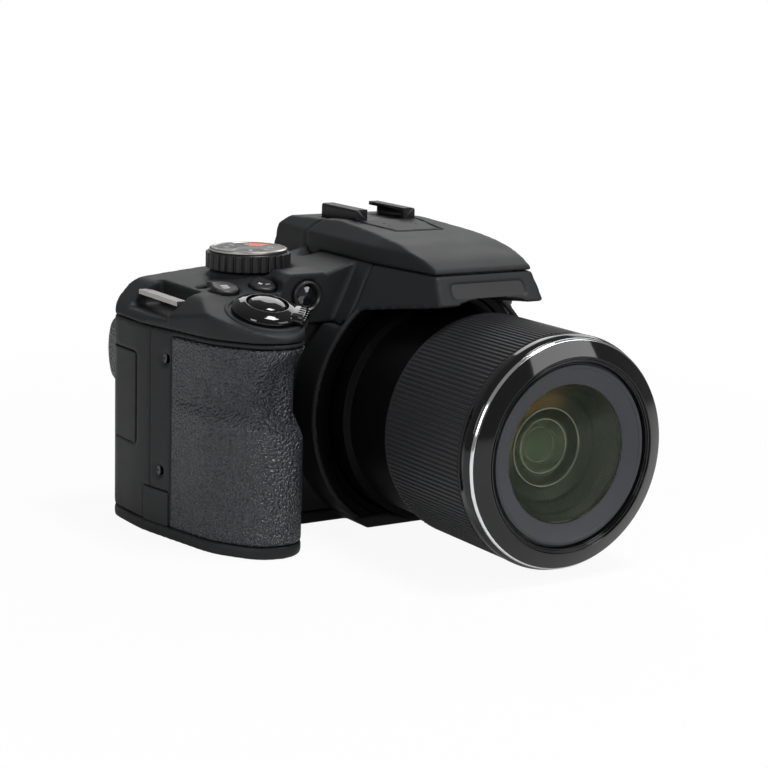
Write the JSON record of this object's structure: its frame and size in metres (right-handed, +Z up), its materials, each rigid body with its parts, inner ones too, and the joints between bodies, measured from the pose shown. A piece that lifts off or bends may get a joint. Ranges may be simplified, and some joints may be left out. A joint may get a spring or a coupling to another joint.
{
  "type": "bridge camera",
  "caption": "Bridge camera with deep grip, extending zoom lens, pop-up flash, accessory shoe, electronic finder and tilting display.",
  "frame": {"origin": "mouth of the tripod socket in the base, on the lens axis seen from above", "axes": "+Z up, -Y along the lens towards the subject, -X towards the hand grip"},
  "size_m": [0.1226, 0.1334, 0.0893],
  "materials": {
    "body_plastic": "fine matte moulded shell",
    "grip_rubber": "leather-grained soft rubber",
    "barrel_black": "satin black barrel",
    "ribbed_black": "fine lengthwise ribs",
    "gloss_black": "polished black",
    "chrome": "bright ring",
    "shoe_steel": "plated steel",
    "dial_black": "satin black controls",
    "dial_silver": "spun disc",
    "lens_glass": "coated glass",
    "display_glass": "dark display window",
    "frame_aluminium": "stamped frame",
    "board_green": "circuit board",
    "cell_sleeve": "sleeved cell"
  },
  "bodies": {
    "camera_body": {"front_cover": "body_plastic", "rear_cover": "body_plastic", "top_cover": "body_plastic", "bottom_cover": "body_plastic", "grip_skin": "grip_rubber", "thumb_rest": "body_plastic", "chassis_frame": "frame_aluminium", "tripod_socket": "shoe_steel", "fixed_barrel": "barrel_black", "lens_collar": "barrel_black", "hot_shoe": "shoe_steel", "microphone_plate": "body_plastic", "af_lamp_lens": "lens_glass", "af_lamp_bezel": "gloss_black", "strap_lugs": "shoe_steel", "case_screws": "shoe_steel", "beak_plate": "body_plastic", "eyecup": "grip_rubber", "eyepiece_lens": "lens_glass", "evf_tube": "cell_sleeve", "image_sensor": "board_green", "main_board": "board_green", "flash_capacitor": "cell_sleeve", "battery": "cell_sleeve"},
    "zoom_barrel": {"ribbed_barrel": "ribbed_black", "front_ring": "gloss_black", "chrome_ring": "chrome", "name_ring": "gloss_black", "front_baffle": "barrel_black", "front_element": "lens_glass"},
    "middle_barrel": {"middle_barrel": "barrel_black"},
    "zoom_cell": {"zoom_cell": "barrel_black"},
    "iris_unit": {"iris_unit": "barrel_black"},
    "focus_cell": {"focus_cell": "barrel_black"},
    "mode_dial": {"mode_dial": "dial_black", "mode_dial_cap": "dial_silver"},
    "command_dial": {"command_dial": "dial_black"},
    "shutter_button": {"shutter_button": "gloss_black"},
    "zoom_lever": {"zoom_lever": "gloss_black"},
    "burst_button": {"burst_button": "dial_black"},
    "exposure_button": {"exposure_button": "dial_black"},
    "power_switch": {"power_switch": "dial_black"},
    "flash_lid": {"flash_lid": "body_plastic", "flash_lamp": "gloss_black"},
    "lcd_bracket": {"lcd_bracket": "body_plastic"},
    "lcd_panel": {"lcd_shell": "body_plastic", "lcd_window": "display_glass"},
    "battery_door": {"battery_door": "body_plastic"},
    "battery_latch": {"battery_latch": "body_plastic"},
    "connector_cover": {"connector_cover": "body_plastic"},
    "dc_flap": {"dc_flap": "body_plastic"},
    "diopter_wheel": {"diopter_wheel": "dial_black"},
    "selector_ring": {"selector_ring": "dial_black"},
    "ok_button": {"ok_button": "gloss_black"},
    "movie_button": {"movie_button": "dial_black"},
    "playback_button": {"playback_button": "dial_black"},
    "display_button": {"display_button": "dial_black"},
    "evf_button": {"evf_button": "dial_black"},
    "flash_button": {"flash_button": "dial_black"}
  },
  "joints": [
    {"name": "zoom_extend", "type": "slide", "parent": "camera_body", "child": "zoom_barrel", "axis": [0, -1, 0], "range_m": [-0.011, 0.06]},
    {"name": "middle_extend", "type": "slide", "parent": "camera_body", "child": "middle_barrel", "axis": [0, -1, 0], "range_m": [-0.0055, 0.03]},
    {"name": "zoom_cell_travel", "type": "slide", "parent": "camera_body", "child": "zoom_cell", "axis": [0, -1, 0], "range_m": [-0.0088, 0.048]},
    {"name": "iris_travel", "type": "slide", "parent": "camera_body", "child": "iris_unit", "axis": [0, -1, 0], "range_m": [-0.0077, 0.042]},
    {"name": "focus_travel", "type": "slide", "parent": "camera_body", "child": "focus_cell", "axis": [0, -1, 0], "range_m": [-0.003, 0.003]},
    {"name": "mode_turn", "type": "hinge", "parent": "camera_body", "child": "mode_dial", "pos_m": [-0.043, 0.0066, 0.0755], "axis": [0, 0, 1], "continuous": true},
    {"name": "command_turn", "type": "hinge", "parent": "camera_body", "child": "command_dial", "pos_m": [-0.057, 0.0192, 0.0638], "axis": [0, 0, 1], "continuous": true},
    {"name": "shutter_press", "type": "slide", "parent": "camera_body", "child": "shutter_button", "axis": [0, 0.2652, -0.9642], "range_m": [0, 0.0016], "stiffness_N_per_m": 800},
    {"name": "zoom_lever_turn", "type": "hinge", "parent": "camera_body", "child": "zoom_lever", "pos_m": [-0.056, -0.0275, 0.06586], "axis": [0, -0.2652, 0.9642], "range_deg": [-25, 25], "stiffness_Nm_per_rad": 0.05},
    {"name": "burst_press", "type": "slide", "parent": "camera_body", "child": "burst_button", "axis": [0, 0.2652, -0.9642], "range_m": [0, 0.0006], "stiffness_N_per_m": 800},
    {"name": "exposure_press", "type": "slide", "parent": "camera_body", "child": "exposure_button", "axis": [0, 0.2652, -0.9642], "range_m": [0, 0.0006], "stiffness_N_per_m": 800},
    {"name": "power_slide", "type": "slide", "parent": "camera_body", "child": "power_switch", "axis": [0.9932, 0, 0.1168], "range_m": [-0.003, 0]},
    {"name": "flash_lift", "type": "hinge", "parent": "camera_body", "child": "flash_lid", "pos_m": [0, 0.0086, 0.081], "axis": [-1, 0, 0], "range_deg": [0, 48]},
    {"name": "lcd_lift", "type": "hinge", "parent": "camera_body", "child": "lcd_bracket", "pos_m": [0.0005, 0.0244, 0.0556], "axis": [1, 0, 0], "range_deg": [0, 85]},
    {"name": "lcd_tilt", "type": "hinge", "parent": "lcd_bracket", "child": "lcd_panel", "pos_m": [0.0005, 0.0244, 0.0094], "axis": [1, 0, 0], "range_deg": [-45, 0]},
    {"name": "battery_door_swing", "type": "hinge", "parent": "camera_body", "child": "battery_door", "pos_m": [-0.0504, 0, 0], "axis": [0, -1, 0], "range_deg": [0, 90]},
    {"name": "battery_latch_slide", "type": "slide", "parent": "battery_door", "child": "battery_latch", "axis": [0, -1, 0], "range_m": [0, 0.0024]},
    {"name": "connector_cover_swing", "type": "hinge", "parent": "camera_body", "child": "connector_cover", "pos_m": [-0.07885, 0.00635, 0.038], "axis": [0, 0, 1], "range_deg": [0, 110]},
    {"name": "dc_flap_swing", "type": "hinge", "parent": "camera_body", "child": "dc_flap", "pos_m": [-0.07645, -0.0096, 0.0087], "axis": [0, 0, 1], "range_deg": [0, 60]},
    {"name": "diopter_turn", "type": "hinge", "parent": "camera_body", "child": "diopter_wheel", "pos_m": [0.018, 0.025, 0.0715], "axis": [1, 0, 0], "range_deg": [-150, 150]},
    {"name": "selector_ring_press", "type": "slide", "parent": "camera_body", "child": "selector_ring", "axis": [0, -1, 0], "range_m": [0, 0.0004], "stiffness_N_per_m": 800},
    {"name": "ok_button_press", "type": "slide", "parent": "camera_body", "child": "ok_button", "axis": [0, -1, 0], "range_m": [0, 0.0007], "stiffness_N_per_m": 800},
    {"name": "movie_button_press", "type": "slide", "parent": "camera_body", "child": "movie_button", "axis": [0, -1, 0], "range_m": [0, 0.0006], "stiffness_N_per_m": 800},
    {"name": "playback_button_press", "type": "slide", "parent": "camera_body", "child": "playback_button", "axis": [0, -1, 0], "range_m": [0, 0.0006], "stiffness_N_per_m": 800},
    {"name": "display_button_press", "type": "slide", "parent": "camera_body", "child": "display_button", "axis": [0, -1, 0], "range_m": [0, 0.0006], "stiffness_N_per_m": 800},
    {"name": "evf_button_press", "type": "slide", "parent": "camera_body", "child": "evf_button", "axis": [0, -1, 0], "range_m": [0, 0.0006], "stiffness_N_per_m": 800},
    {"name": "flash_button_press", "type": "slide", "parent": "camera_body", "child": "flash_button", "axis": [-0.9013, 0, -0.4332], "range_m": [0, 0.0006], "stiffness_N_per_m": 800}
  ],
  "couplings": [
    {"joint": "middle_extend", "follows": "zoom_extend", "ratio": 0.5},
    {"joint": "zoom_cell_travel", "follows": "zoom_extend", "ratio": 0.8},
    {"joint": "iris_travel", "follows": "zoom_extend", "ratio": 0.7}
  ]
}
